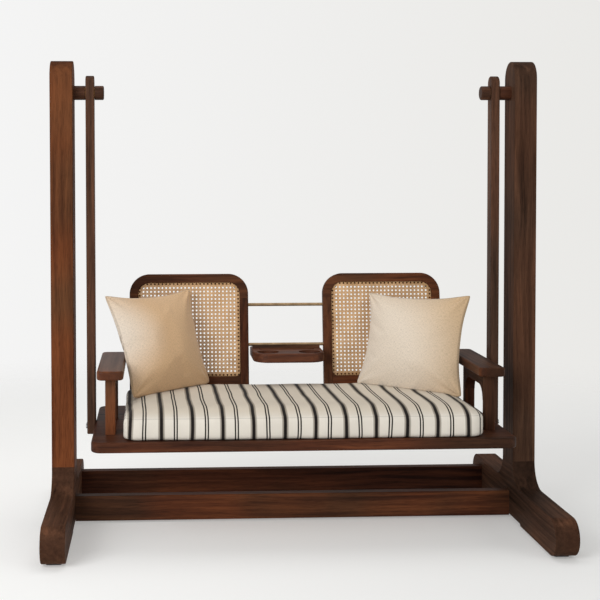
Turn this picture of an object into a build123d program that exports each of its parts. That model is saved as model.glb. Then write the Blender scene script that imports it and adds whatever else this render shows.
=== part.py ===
"""Jhoola swing: a free-standing timber stand with a two-seat bench that hangs on two flat bars.

Millimetres, +Z up. The origin is on the floor at the middle of the footprint, +X runs along
the bench and -Y is the side that a sitter faces. Pieces are drawn about the swing's axis and
moved to the footprint's middle when they are written.
"""
import os
from math import cos, radians, sin, tan

from build123d import *

# Stand
side_room = 50            # outer face of a hanger to the side frame
plank = 92                # thickness of posts and feet, across the swing
post_depth = 150
stand_height = 1905
foot_height = 142
foot_front_reach = 622    # swing axis to the front end of a foot
foot_rear_reach = 565
flare_radius = 100        # concave sweep from foot to post
relief_depth = 11         # underside of a foot cut clear of the floor
relief_length = 360
relief_round = 9.9
post_tenon = (34, 96, 80)
wood_edge = 4             # softened arris of the heavy timber

glide_size = (58, 90, 6)
glide_inset = 68          # end of a foot to the end of its glide

stretcher_thickness = 48
stretcher_height = 104
stretcher_lift = 10       # floor to the underside of a stretcher
rear_stretcher_inset = 137    # rear end of a foot to the middle of the rear stretcher
stretcher_tenon = (28, 24, 72)

stretcher_bolt_radius = 5
stretcher_bolt_length = 150
stretcher_bolt_head = (9, 8)
bolt_counterbore = (13, 22)
barrel_nut_radius = 9
barrel_nut_length = 30

# Pegs and axles
axis_drop = 130           # top of a post to the swing's axis
peg_radius = 29
peg_round = 6
axle_radius = 10
axle_seat = 70            # depth of the axle in a post
peg_cap_length = 37
peg_cap_seat = 28
bush_wall = 5
bush_flange = (23, 2)
running_side_gap = 0.4
running_clearance = 0.06
fit_clearance = 0.1

# Hanger bars
hanger_thickness = 35
hanger_depth = 64
hanger_above_axis = 70
hanger_below_seat = 10
hanger_edge = 5
hanger_bolt_radius = 5
hanger_bolt_spacing = 32
hanger_bolt_length = 70
hanger_bolt_head = (9, 5)
hanger_nut_setback = 30   # end face of the seat to the barrel nuts

# Seat frame
seat_half_length = 820
seat_front = 436          # swing axis to the front edge
seat_rear = 325
seat_bottom = 384
seat_thickness = 40
seat_corner = 42
seat_edge = 7
front_rail_width = 90
rear_rail_width = 100
end_board_width = 135
middle_rail = (60, 24)
cleat = (22, 24)
slat_count = 11
slat_width = 92
slat_thickness = 16

# Arms
arm_inset = 70            # end of the seat to the middle of an arm
arm_leg_width = 40
arm_front_leg_inset = 151     # front edge of the seat to the front leg
arm_front_leg_depth = 42
arm_rear_leg_inset = 260      # rear edge of the seat to the rear leg
arm_rear_leg_depth = 40
arm_leg_tenon = 22
arm_rail_height = 47
arm_arch_radius = 58
armrest_width = 104
armrest_thickness = 36
armrest_overhang = 41     # front leg to the front end of the rest
armrest_rear_inset = 110  # rear edge of the seat to the rear end of the rest
armrest_rise = 254        # top of the seat to the top of the rest
armrest_corner = 24
armrest_edge = 8
soft_edge = 4

# Backrests
back_gap = 330            # between the two backrests
back_inset = 134          # end of the seat to the outer edge of a backrest
back_foot_inset = 83      # rear edge of the seat to the front face of a backrest
back_lean = 7.5
back_rise = 579           # top of the seat to the top of a backrest
back_thickness = 34
back_member = 38
back_corner = 88
back_crest_drop = 106     # top of a backrest to its corner joints
back_rail_rise = 135      # top of the seat to the top of the bottom rail
back_rail_height = 40
back_rail_round = 20
back_tenon = (22, 18, 28)
cane_thickness = 3
cane_setback = 8
cane_edge_gap = 0.2
cane_lip = 10             # ledge behind the border of the cane

# Tie rods and tray
rod_radius = 7
rod_seat = 20
upper_rod_drop = 137      # top of a backrest to the upper rod
lower_rod_drop = 310
tray_end_gap = 11         # end of the tray to the backrest beside it
tray_reach = 127          # foot of a backrest to the front edge of the tray
tray_rear_overhang = 57   # rod centre to the tray's rear edge
tray_thickness = 40
tray_corner = 68
tray_edge = 6
saddle_width = 22
saddle_height = 12
rod_bed = 3               # depth of the rod in its groove
cup_radius = 47
cup_depth = 24
cup_end_inset = 64        # end of the tray to the middle of a cup well
cup_front_inset = 59
slot_end_inset = 34
slot_width = 38
slot_depth = 24
slot_setback = 36.6       # lower rod to the middle of the slot
tray_screw_radius = 2.5
tray_screw_head = (5, 3)
tray_screw_inset = 34

# Soft parts
soft_gap = 0.3
cushion_end_inset = 127   # end of the seat to the end of the cushion
cushion_front_inset = 31
cushion_height = 102
cushion_corner = 60
cushion_round = 34
pillow_size = 432
pillow_thickness = 128
pillow_lean = 18.5
left_pillow_end_inset = 280       # end of the seat to the middle of a pillow
left_pillow_rear_inset = 232      # rear edge of the seat to the middle of a pillow
left_pillow_turn = 42
right_pillow_end_inset = 299
right_pillow_rear_inset = 237
right_pillow_turn = -39.5

armrest_screw_radius = 3
armrest_screw_head = (6, 4)

# What follows from them
hanger_inner = seat_half_length
hanger_outer = hanger_inner + hanger_thickness
half_gap = hanger_outer + side_room
axis_height = stand_height - axis_drop
rear_stretcher_y = foot_rear_reach - rear_stretcher_inset
foot_bottom = glide_size[2]
foot_top = foot_bottom + foot_height
neck_top = foot_top + flare_radius
seat_top = seat_bottom + seat_thickness
axis_y = (foot_front_reach - foot_rear_reach) / 2
bush_radius = axle_radius + running_clearance + bush_wall
stretcher_mid_z = stretcher_lift + stretcher_height / 2
arm_centre_x = seat_half_length - arm_inset
arm_front_leg = (-seat_front + arm_front_leg_inset, arm_front_leg_depth)    # front face and depth
arm_rear_leg = (seat_rear - arm_rear_leg_inset - arm_rear_leg_depth, arm_rear_leg_depth)
armrest_front = arm_front_leg[0] - armrest_overhang
armrest_rear = seat_rear - armrest_rear_inset
armrest_top = seat_top + armrest_rise
back_inner_x = back_gap / 2
back_outer_x = seat_half_length - back_inset
back_foot_y = seat_rear - back_foot_inset
back_top = seat_top + back_rise
back_rail_top = seat_top + back_rail_rise
back_slope = tan(radians(back_lean))
upper_rod_z = back_top - upper_rod_drop
lower_rod_z = back_top - lower_rod_drop
tray_half_width = back_inner_x - tray_end_gap
tray_front = back_foot_y - tray_reach
tray_top = lower_rod_z - rod_radius + rod_bed - saddle_height

LOW = Align.MIN
MID = Align.CENTER
HIGH = Align.MAX
side_plane = Plane.YZ

os.makedirs("parts", exist_ok=True)


def save(name, shape):
    """Writes one node, moved from the swing's axis to the footprint's middle."""
    export_step(Pos(0, axis_y, 0) * shape, f"parts/{name}.step")


def save_pair(name, shape):
    """Writes a piece drawn on the +X side, and its mirror image."""
    save(f"right_{name}", shape)
    save(f"left_{name}", shape.mirror(Plane.YZ))


def rod_x(x_start, x_end, y, z, radius):
    """A round bar along X."""
    middle = (x_start + x_end) / 2
    return Pos(middle, y, z) * Rot(0, 90, 0) * Cylinder(radius, abs(x_end - x_start))


def box(x_range, y_range, z_range):
    """A block between three pairs of limits."""
    low = [min(r) for r in (x_range, y_range, z_range)]
    size = [abs(r[1] - r[0]) for r in (x_range, y_range, z_range)]
    return Pos(*low) * Box(*size, align=(LOW, LOW, LOW))


def long_edges(shape, axis):
    """The edges of a bar that run along it."""
    return shape.edges().filter_by(axis)


def headed_bolt(tip_x, head_x, y, z, radius, head):
    """A bolt along X whose head's inner face is at head_x."""
    outward = 1 if head_x > tip_x else -1
    head_end = head_x + outward * head[1]
    return rod_x(tip_x, head_x, y, z, radius) + rod_x(head_x, head_end, y, z, head[0])


# Side frames: a foot with its swept neck, and a post tenoned into it
def foot():
    """One foot: a bar with round ends and a neck that sweeps up to the post."""
    middle_y = (foot_rear_reach - foot_front_reach) / 2
    middle_z = foot_bottom + foot_height / 2
    bar = Pos(middle_y, middle_z) * SlotOverall(foot_front_reach + foot_rear_reach, foot_height)
    neck_height = neck_top - middle_z
    neck_width = post_depth + 2 * flare_radius
    neck = Pos(0, middle_z) * Rectangle(neck_width, neck_height, align=(MID, LOW))
    for side in (-1, 1):
        neck -= Pos(side * neck_width / 2, neck_top) * Circle(flare_radius)
    outline = side_plane.offset(half_gap) * (bar + neck)
    body = extrude(outline, plank)
    flanks = body.faces().filter_by(Axis.X).edges()
    body = fillet(flanks.filter_by(lambda e: e.center().Z < neck_top - wood_edge), wood_edge)
    relief_outline = RectangleRounded(relief_length, 2 * relief_depth, relief_round)
    body -= extrude(side_plane.offset(half_gap) * (Pos(0, foot_bottom) * relief_outline), plank)
    body -= post_tenon_block(fit_clearance)
    for y in (0, rear_stretcher_y):
        body -= stretcher_tenon_block(y, fit_clearance)
        outer = half_gap + plank
        seat_x = outer - bolt_counterbore[1]
        body -= rod_x(half_gap, outer, y, stretcher_mid_z, stretcher_bolt_radius + fit_clearance)
        body -= rod_x(seat_x, outer, y, stretcher_mid_z, bolt_counterbore[0])
    return body


def post_tenon_block(clearance=0.0):
    """The tenon under a post, or the mortise for it."""
    middle_x = half_gap + plank / 2
    wide = post_tenon[0] + 2 * clearance
    deep = post_tenon[1] + 2 * clearance
    return Pos(middle_x, 0, neck_top) * Box(wide, deep, post_tenon[2], align=(MID, MID, HIGH))


def stretcher_tenon_block(y, clearance=0.0):
    """The tenon at the +X end of a stretcher, or the mortise for it."""
    tall = stretcher_tenon[2] + 2 * clearance
    thick = stretcher_tenon[1] + 2 * clearance
    at_end = Pos(half_gap, y, stretcher_mid_z)
    return at_end * Box(stretcher_tenon[0], thick, tall, align=(LOW, MID, MID))


def post():
    """One post: a plank with a half-round top, bored for its axle."""
    top_radius = post_depth / 2
    straight = stand_height - top_radius - neck_top
    shaft = Pos(0, neck_top) * Rectangle(post_depth, straight, align=(MID, LOW))
    crown = Pos(0, stand_height - top_radius) * Circle(top_radius)
    body = extrude(side_plane.offset(half_gap) * (shaft + crown), plank)
    flanks = body.faces().filter_by(Axis.X).edges()
    body = fillet(flanks.filter_by(lambda e: e.center().Z > neck_top + wood_edge), wood_edge)
    body += post_tenon_block()
    seat_end = half_gap + axle_seat
    body -= rod_x(half_gap, seat_end, 0, axis_height, axle_radius + fit_clearance)
    return body


def stretcher(y):
    """A board on edge from foot to foot, tenoned and bored for a bolt at each end."""
    board = Pos(0, y, stretcher_mid_z) * Box(2 * half_gap, stretcher_thickness, stretcher_height)
    board = fillet(long_edges(board, Axis.X), wood_edge)
    bolt_tip = half_gap + plank - bolt_counterbore[1] - stretcher_bolt_length
    tenon = stretcher_tenon_block(y)
    hole = rod_x(bolt_tip, half_gap + plank, y, stretcher_mid_z, stretcher_bolt_radius + fit_clearance)
    pocket = barrel_nut_at(stretcher_nut_x(), y, stretcher_mid_z, fit_clearance)
    for piece in (tenon, tenon.mirror(Plane.YZ)):
        board += piece
    for cut in (hole, pocket, hole.mirror(Plane.YZ), pocket.mirror(Plane.YZ)):
        board -= cut
    return board


def stretcher_nut_x():
    """Where the bolt of a stretcher meets its barrel nut."""
    return half_gap + plank - bolt_counterbore[1] - stretcher_bolt_length + 2 * barrel_nut_radius


def barrel_nut_at(x, y, z, clearance=0.0):
    """A barrel nut standing upright across a bolt."""
    return Pos(x, y, z) * Cylinder(barrel_nut_radius + clearance, barrel_nut_length + 2 * clearance)


def stretcher_hardware():
    """The four long bolts and their barrel nuts."""
    bolts = []
    nuts = []
    head_x = half_gap + plank - bolt_counterbore[1]
    for y in (0, rear_stretcher_y):
        tip_x = head_x - stretcher_bolt_length
        bolt = headed_bolt(tip_x, head_x, y, stretcher_mid_z, stretcher_bolt_radius, stretcher_bolt_head)
        nut = barrel_nut_at(stretcher_nut_x(), y, stretcher_mid_z)
        nut -= rod_x(0, half_gap, y, stretcher_mid_z, stretcher_bolt_radius + fit_clearance)
        bolts += [bolt, bolt.mirror(Plane.YZ)]
        nuts += [nut, nut.mirror(Plane.YZ)]
    return Compound(bolts), Compound(nuts)


def glides():
    """Four hard pads under the ends of the feet."""
    wide, long, thick = glide_size
    pads = []
    for x in (-half_gap - plank / 2, half_gap + plank / 2):
        front = -foot_front_reach + glide_inset
        rear = foot_rear_reach - glide_inset - long
        for y in (front, rear):
            pad = Pos(x, y, 0) * Box(wide, long, thick, align=(MID, LOW, LOW))
            pads.append(fillet(long_edges(pad, Axis.Z), wide / 6))
    return Compound(pads)


save_pair("foot", foot())
save_pair("post", post())
save("front_stretcher", stretcher(0))
save("rear_stretcher", stretcher(rear_stretcher_y))
stretcher_bolts, stretcher_nuts = stretcher_hardware()
save("stretcher_bolts", stretcher_bolts)
save("stretcher_barrel_nuts", stretcher_nuts)
save("foot_glides", glides())


# Pegs: a steel axle in the post, a turned collar, the hanger's bushes and a turned cap
flange_face = bush_flange[1] + running_side_gap
collar_start = hanger_outer + flange_face
cap_start = hanger_inner - flange_face


def peg_cap():
    """The turned knob that keeps the hanger on its axle."""
    end = cap_start - peg_cap_length
    knob = rod_x(end, cap_start, 0, axis_height, peg_radius)
    knob = fillet(knob.edges().sort_by(Axis.X)[0], peg_round)
    return knob - rod_x(cap_start - peg_cap_seat, cap_start, 0, axis_height, axle_radius + fit_clearance)


def peg_collar():
    """The turned sleeve that spaces the hanger from the post."""
    sleeve = rod_x(collar_start, half_gap, 0, axis_height, peg_radius)
    return sleeve - rod_x(collar_start, half_gap, 0, axis_height, axle_radius + fit_clearance)


def hanger_bushes():
    """Two flanged bushes pressed into a hanger from its faces."""
    bore = rod_x(cap_start, collar_start, 0, axis_height, axle_radius + running_clearance)
    middle = (hanger_inner + hanger_outer) / 2
    bushes = []
    for face, outward in ((hanger_inner, -1), (hanger_outer, 1)):
        sleeve = rod_x(middle + outward * fit_clearance, face, 0, axis_height, bush_radius)
        flange = rod_x(face, face + outward * bush_flange[1], 0, axis_height, bush_flange[0])
        bushes.append(sleeve + flange - bore)
    return Compound(bushes)


save_pair("axle", rod_x(cap_start - peg_cap_seat, half_gap + axle_seat, 0, axis_height, axle_radius))
save_pair("peg_collar", peg_collar())
save_pair("peg_cap", peg_cap())
save_pair("hanger_bushes", hanger_bushes())


# Hangers: one flat bar at each end of the bench
hanger_bottom = seat_bottom - hanger_below_seat
hanger_bolt_z = seat_bottom + seat_thickness / 2
hanger_bolt_y = (-hanger_bolt_spacing / 2, hanger_bolt_spacing / 2)
hanger_nut_x = seat_half_length - hanger_nut_setback


def hanger_bolt_hole(y):
    """Clearance for one hanger bolt through the bar and into the end board."""
    tip = hanger_outer - hanger_bolt_length
    return rod_x(tip, hanger_outer, y, hanger_bolt_z, hanger_bolt_radius + fit_clearance)


def hanger():
    """A flat bar with a half-round top, bored for its bushes and its two bolts."""
    top_radius = hanger_depth / 2
    crown_z = axis_height + hanger_above_axis - top_radius
    bar = Pos(0, hanger_bottom) * Rectangle(hanger_depth, crown_z - hanger_bottom, align=(MID, LOW))
    outline = bar + Pos(0, crown_z) * Circle(top_radius)
    body = extrude(side_plane.offset(hanger_inner) * outline, hanger_thickness)
    body = fillet(body.faces().filter_by(Axis.X).edges(), hanger_edge)
    body -= rod_x(hanger_inner, hanger_outer, 0, axis_height, bush_radius + fit_clearance)
    for y in hanger_bolt_y:
        body -= hanger_bolt_hole(y)
    return body


def hanger_hardware():
    """The four bolts through the hangers and the barrel nuts in the end boards."""
    bolts = []
    nuts = []
    for y in hanger_bolt_y:
        tip = hanger_outer - hanger_bolt_length
        bolt = headed_bolt(tip, hanger_outer, y, hanger_bolt_z, hanger_bolt_radius, hanger_bolt_head)
        nut = barrel_nut_at(hanger_nut_x, y, hanger_bolt_z) - hanger_bolt_hole(y)
        bolts += [bolt, bolt.mirror(Plane.YZ)]
        nuts += [nut, nut.mirror(Plane.YZ)]
    return Compound(bolts), Compound(nuts)


save_pair("hanger", hanger())
hanger_bolts, hanger_nuts = hanger_hardware()
save("hanger_bolts", hanger_bolts)
save("hanger_barrel_nuts", hanger_nuts)


# Seat frame: two end boards, two rails, a middle rail, cleats and slats
rail_half_length = seat_half_length - end_board_width
front_rail_inner = -seat_front + front_rail_width
rear_rail_inner = seat_rear - rear_rail_width
slat_bottom = seat_top - slat_thickness
middle_rail_y = (front_rail_inner + rear_rail_inner) / 2


def seat_outline():
    """The whole bench top with round corners and softened edges."""
    middle_y = (seat_rear - seat_front) / 2
    plan = RectangleRounded(2 * seat_half_length, seat_front + seat_rear, seat_corner)
    slab = extrude(Pos(0, middle_y, seat_bottom) * plan, seat_thickness)
    rims = slab.faces().sort_by(Axis.Z)[-1].edges() + slab.faces().sort_by(Axis.Z)[0].edges()
    return fillet(rims, seat_edge)


def arm_leg_tenon_block(leg, clearance=0.0):
    """The tenon under an arm leg, or the mortise for it."""
    middle = leg[0] + leg[1] / 2
    side = arm_leg_width / 2 + 2 * clearance
    return Pos(arm_centre_x, middle, seat_top) * Box(side, side, arm_leg_tenon, align=(MID, MID, HIGH))


def end_board(slab):
    """The board at the +X end, which the hanger and the arm stand on."""
    board = slab & box((rail_half_length, hanger_outer), (-seat_front, seat_rear), (0, stand_height))
    for leg in (arm_front_leg, arm_rear_leg):
        board -= arm_leg_tenon_block(leg, fit_clearance)
    for y in hanger_bolt_y:
        board -= hanger_bolt_hole(y)
        board -= barrel_nut_at(hanger_nut_x, y, hanger_bolt_z, fit_clearance)
    return board


def back_tenon_x():
    """The middles of the two stiles of the backrest on the +X side."""
    return back_inner_x + back_member / 2, back_outer_x - back_member / 2


def back_tenon_block(x, clearance=0.0):
    """The upright tenon under a stile."""
    y = back_foot_y + back_thickness / 2 / cos(radians(back_lean))
    wide = back_tenon[0] + 2 * clearance
    deep = back_tenon[1] + 2 * clearance
    return Pos(x, y, seat_top) * Box(wide, deep, back_tenon[2], align=(MID, MID, HIGH))


def rail(slab, y_range):
    """A long rail cut from the bench top."""
    return slab & box((-rail_half_length, rail_half_length), y_range, (0, stand_height))


bench_top = seat_outline()
rear_rail = rail(bench_top, (rear_rail_inner, seat_rear))
for stile_x in back_tenon_x():
    for signed_x in (-stile_x, stile_x):
        rear_rail -= back_tenon_block(signed_x, fit_clearance)
save_pair("seat_end_board", end_board(bench_top))
save("seat_front_rail", rail(bench_top, (-seat_front, front_rail_inner)))
save("seat_rear_rail", rear_rail)

rail_span = (-rail_half_length, rail_half_length)
cleat_z = (slat_bottom - cleat[1], slat_bottom)
save("seat_front_cleat", box(rail_span, (front_rail_inner, front_rail_inner + cleat[0]), cleat_z))
save("seat_rear_cleat", box(rail_span, (rear_rail_inner - cleat[0], rear_rail_inner), cleat_z))
middle_y_range = (middle_rail_y - middle_rail[0] / 2, middle_rail_y + middle_rail[0] / 2)
save("seat_middle_rail", box(rail_span, middle_y_range, (slat_bottom - middle_rail[1], slat_bottom)))

slat_pitch = 2 * rail_half_length / slat_count
slats = []
for index in range(slat_count):
    slat_x = -rail_half_length + (index + 0.5) * slat_pitch
    slat_edges = (slat_x - slat_width / 2, slat_x + slat_width / 2)
    slats.append(box(slat_edges, (front_rail_inner, rear_rail_inner), (slat_bottom, seat_top)))
save("seat_slats", Compound(slats))


# Arms: two legs, an arched rail and a broad rest at each end
arm_rest_bottom = armrest_top - armrest_thickness
arm_inner = arm_centre_x - arm_leg_width / 2
arm_outer = arm_centre_x + arm_leg_width / 2


def arm_leg(leg):
    """A square leg from the end board to the underside of the rest."""
    shaft = box((arm_inner, arm_outer), (leg[0], leg[0] + leg[1]), (seat_top, arm_rest_bottom))
    shaft = fillet(long_edges(shaft, Axis.Z), soft_edge)
    return shaft + arm_leg_tenon_block(leg)


def arm_rail():
    """The rail between the legs, cut to a flat arch with round corners."""
    start = arm_front_leg[0] + arm_front_leg[1]
    span = arm_rear_leg[0] - start
    depth = arm_rail_height + arm_arch_radius
    blank = Pos(start, arm_rest_bottom) * Rectangle(span, depth, align=(LOW, HIGH))
    arch_top = arm_rest_bottom - arm_rail_height
    arch = Pos(start + span / 2, arch_top - span / 2) * RectangleRounded(span, span, arm_arch_radius)
    board = extrude(side_plane.offset(arm_inner) * (blank - arch), arm_leg_width)
    return board


def armrest():
    """The broad rest, with round corners and edges."""
    length = armrest_rear - armrest_front
    plan = RectangleRounded(armrest_width, length, armrest_corner)
    middle = (armrest_front + armrest_rear) / 2
    slab = extrude(Pos(arm_centre_x, middle, arm_rest_bottom) * plan, armrest_thickness)
    rims = slab.faces().sort_by(Axis.Z)[-1].edges() + slab.faces().sort_by(Axis.Z)[0].edges()
    slab = fillet(rims, armrest_edge)
    for y in armrest_screw_y():
        slab -= armrest_screw(y, fit_clearance)
    return slab


def armrest_screw_y():
    """Where the screws come up through the arched rail."""
    start = arm_front_leg[0] + arm_front_leg[1]
    span = arm_rear_leg[0] - start
    return start + span / 4, start + 3 * span / 4


def armrest_screw(y, clearance=0.0):
    """A screw up through the rail into the rest, with its head under the arch."""
    head_z = arm_rest_bottom - arm_rail_height
    length = arm_rail_height + armrest_thickness * 0.6
    shank = Cylinder(armrest_screw_radius + clearance, length, align=(MID, MID, LOW))
    head = Cylinder(armrest_screw_head[0] + clearance, armrest_screw_head[1], align=(MID, MID, LOW))
    return Pos(arm_centre_x, y, head_z) * (shank + head)


arched_rail = arm_rail()
arm_screws = []
for screw_y in armrest_screw_y():
    arched_rail -= armrest_screw(screw_y, fit_clearance)
    arm_screws += [armrest_screw(screw_y), armrest_screw(screw_y).mirror(Plane.YZ)]
save_pair("arm_front_leg", arm_leg(arm_front_leg))
save_pair("arm_rear_leg", arm_leg(arm_rear_leg))
save_pair("arm_rail", arched_rail)
save_pair("armrest", armrest())
save("armrest_screws", Compound(arm_screws))


# Backrests: stiles, a crest with round corners, a bottom rail and a cane panel
back_tilt = Pos(0, back_foot_y, seat_top) * Rot(-back_lean, 0, 0)
back_height = (back_top - seat_top) / cos(radians(back_lean))
crest_joint = back_height - back_crest_drop
back_width = back_outer_x - back_inner_x
back_middle_x = (back_inner_x + back_outer_x) / 2
opening_width = back_width - 2 * back_member
rail_top = (back_rail_top - seat_top) / cos(radians(back_lean))
opening_height = back_height - back_member - rail_top


def leaning(outline, thickness=back_thickness, setback=0.0):
    """Stands a flat outline, drawn with Y up from the seat, in the leaning plane of a backrest."""
    slab = extrude(Plane.XZ * outline, -thickness)
    return back_tilt * Pos(back_middle_x, setback, 0) * slab


def frame_opening(inset=0.0):
    """The opening for the cane, with large corners above and small ones below."""
    wide = opening_width - 2 * inset
    tall = opening_height - 2 * inset
    outline = Pos(0, rail_top + inset) * Rectangle(wide, tall, align=(MID, LOW))
    corners = outline.vertices().sort_by(Axis.Y)
    outline = fillet(corners[2:], back_corner - back_member - inset)
    return fillet(outline.vertices().sort_by(Axis.Y)[:2], back_rail_round - inset)


def back_blank():
    """The outer shape of a backrest, square below and round above."""
    blank = Rectangle(back_width, back_height, align=(MID, LOW))
    return fillet(blank.vertices().sort_by(Axis.Y)[2:], back_corner)


def lip_part(region):
    """The part of the ledge behind the cane that belongs to one member of the frame."""
    ring = (frame_opening() & region) - frame_opening(cane_lip)
    rebate = cane_setback + cane_thickness + cane_edge_gap
    return leaning(ring, back_thickness - rebate - soft_edge, rebate)


def crest():
    """The top rail with both round corners."""
    cut = Pos(0, crest_joint) * Rectangle(back_width, back_crest_drop, align=(MID, LOW))
    board = leaning((back_blank() & cut) - frame_opening())
    rounded = board.edges().filter_by(lambda e: e.length > back_member + 1)
    return fillet(rounded, soft_edge) + lip_part(cut)


def stile(centre):
    """An upright from the seat to the crest, cut level at its foot, with its tenon."""
    outline = Pos(centre - back_middle_x, -back_thickness)
    outline = outline * Rectangle(back_member, crest_joint + back_thickness, align=(MID, LOW))
    bar = leaning(outline)
    bar = fillet(bar.edges().filter_by(lambda e: e.length > crest_joint), soft_edge)
    below = box((0, back_outer_x + back_member), (0, 2 * seat_rear), (0, seat_top))
    bar = bar - below + back_tenon_block(centre)
    lip_foot = rail_top + back_rail_round
    half = Rectangle(opening_width, crest_joint - lip_foot, align=(MID, LOW))
    half = Pos(centre - back_middle_x, lip_foot) * half
    bar += lip_part(half)
    if centre < back_middle_x:
        for rod_z in (upper_rod_z, lower_rod_z):
            bar -= rod_x(0, back_inner_x + rod_seat, rod_y(rod_z), rod_z, rod_radius + fit_clearance)
    return bar


def bottom_rail():
    """The rail under the cane, with small rising corners."""
    foot_z = rail_top - back_rail_height
    tall = back_rail_height + back_rail_round
    blank = Pos(0, foot_z) * Rectangle(opening_width, tall, align=(MID, LOW))
    return leaning(blank - frame_opening()) + lip_part(blank)


def rod_y(z):
    """The mid-thickness of the leaning backrest at a height."""
    return back_foot_y + (z - seat_top) * back_slope + back_thickness / 2 / cos(radians(back_lean))


inner_stile_x, outer_stile_x = back_tenon_x()
save_pair("back_crest", crest())
save_pair("back_inner_stile", stile(inner_stile_x))
save_pair("back_outer_stile", stile(outer_stile_x))
save_pair("back_bottom_rail", bottom_rail())
save_pair("back_cane", leaning(frame_opening(cane_edge_gap), cane_thickness, cane_setback))


# Tie rods, and the tray carried on the lower one
def tie_rod(z):
    """A brass rod from one backrest to the other."""
    end = back_inner_x + rod_seat - fit_clearance
    return rod_x(-end, end, rod_y(z), z, rod_radius)


def tray():
    """The tray: round front corners, two cup wells and a slot behind them."""
    rear = rod_y(lower_rod_z) + tray_rear_overhang
    plan = Pos(0, tray_front) * Rectangle(2 * tray_half_width, rear - tray_front, align=(MID, LOW))
    plan = fillet(plan.vertices().sort_by(Axis.Y)[:2], tray_corner)
    board = extrude(Pos(0, 0, tray_top - tray_thickness) * plan, tray_thickness)
    rims = board.faces().sort_by(Axis.Z)[-1].edges() + board.faces().sort_by(Axis.Z)[0].edges()
    board = fillet(rims, tray_edge)
    cup_x = tray_half_width - cup_end_inset
    for x in (-cup_x, cup_x):
        well = Cylinder(cup_radius, cup_depth, align=(MID, MID, HIGH))
        well = Pos(x, tray_front + cup_front_inset, tray_top) * well
        board -= well
    slot_length = 2 * (tray_half_width - slot_end_inset)
    slot_y = rod_y(lower_rod_z) - slot_setback
    slot = Pos(0, slot_y, tray_top - slot_depth) * RectangleRounded(slot_length, slot_width, slot_width / 4)
    board -= extrude(slot, slot_depth)
    for x in tray_screw_places():
        board -= tray_screw(x, fit_clearance)
    return board


def tray_screw_places():
    """The screws that come up through the tray into the rod."""
    outer = tray_half_width - tray_screw_inset
    return -outer, 0, outer


def tray_screw(x, clearance=0.0):
    """A screw from under the tray, with its head flush."""
    bottom = tray_top - tray_thickness
    length = lower_rod_z - bottom
    shank = Cylinder(tray_screw_radius + clearance, length, align=(MID, MID, LOW))
    head = Cylinder(tray_screw_head[0] + clearance, tray_screw_head[1], align=(MID, MID, LOW))
    return Pos(x, rod_y(lower_rod_z), bottom) * (shank + head)


def tray_saddle():
    """The strip across the tray with a groove that beds the rod."""
    y = rod_y(lower_rod_z)
    wide = 2 * (tray_half_width - tray_edge)
    strip = Pos(0, y, tray_top) * Box(wide, saddle_width, saddle_height, align=(MID, MID, LOW))
    strip -= rod_x(-tray_half_width, tray_half_width, y, lower_rod_z, rod_radius + fit_clearance)
    for x in tray_screw_places():
        strip -= tray_screw(x, fit_clearance)
    return strip


lower_rod = tie_rod(lower_rod_z)
for screw_x in tray_screw_places():
    lower_rod -= tray_screw(screw_x, fit_clearance)
save("upper_tie_rod", tie_rod(upper_rod_z))
save("lower_tie_rod", lower_rod)
save("tray", tray())
save("tray_saddle", tray_saddle())
save("tray_screws", Compound([tray_screw(x) for x in tray_screw_places()]))


# Soft parts
def seat_cushion():
    """The long seat pad, flat below and round along its upper edges."""
    rear = back_foot_y - soft_gap
    front = seat_front - cushion_front_inset
    plan = RectangleRounded(2 * (seat_half_length - cushion_end_inset), front + rear, cushion_corner)
    middle_y = (rear - front) / 2
    pad = extrude(Pos(0, middle_y, seat_top + soft_gap) * plan, cushion_height)
    pad = fillet(pad.faces().sort_by(Axis.Z)[-1].edges(), cushion_round)
    return fillet(pad.faces().sort_by(Axis.Z)[0].edges(), cushion_round / 2)


def pillow(x, y, turn):
    """A square pillow that thins towards its seam and stands on the seat cushion, leaning back."""
    half = pillow_thickness / 2
    levels = ((0.04, 1.0, 0.03), (0.5, 0.9, 0.12), (0.84, 0.68, 0.2), (1.0, 0.4, 0.18))
    seam_half = pillow_size / 2
    reach = seam_half * cos(radians(pillow_lean)) + levels[0][0] * half * sin(radians(pillow_lean))
    z = seat_top + cushion_height + 2 * soft_gap + reach
    rings = [(-h, s, c) for h, s, c in reversed(levels)] + list(levels)
    sections = []
    for height, scale, corner in rings:
        side = pillow_size * scale
        sections.append(Pos(0, 0, height * half) * RectangleRounded(side, side, pillow_size * corner))
    body = loft(sections, ruled=True)
    return Pos(x, y, z) * Rot(0, 0, turn) * Rot(90 - pillow_lean, 0, 0) * body


save("seat_cushion", seat_cushion())
left_pillow_x = left_pillow_end_inset - seat_half_length
right_pillow_x = seat_half_length - right_pillow_end_inset
save("left_pillow", pillow(left_pillow_x, seat_rear - left_pillow_rear_inset, left_pillow_turn))
save("right_pillow", pillow(right_pillow_x, seat_rear - right_pillow_rear_inset, right_pillow_turn))
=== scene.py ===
"""A jhoola: a cane-backed swing bench on two bars, in a free-standing walnut stand."""
import math
import random

import bmesh
import bpy
from mathutils import Matrix, Vector, noise
from mathutils.bvhtree import BVHTree


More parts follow.
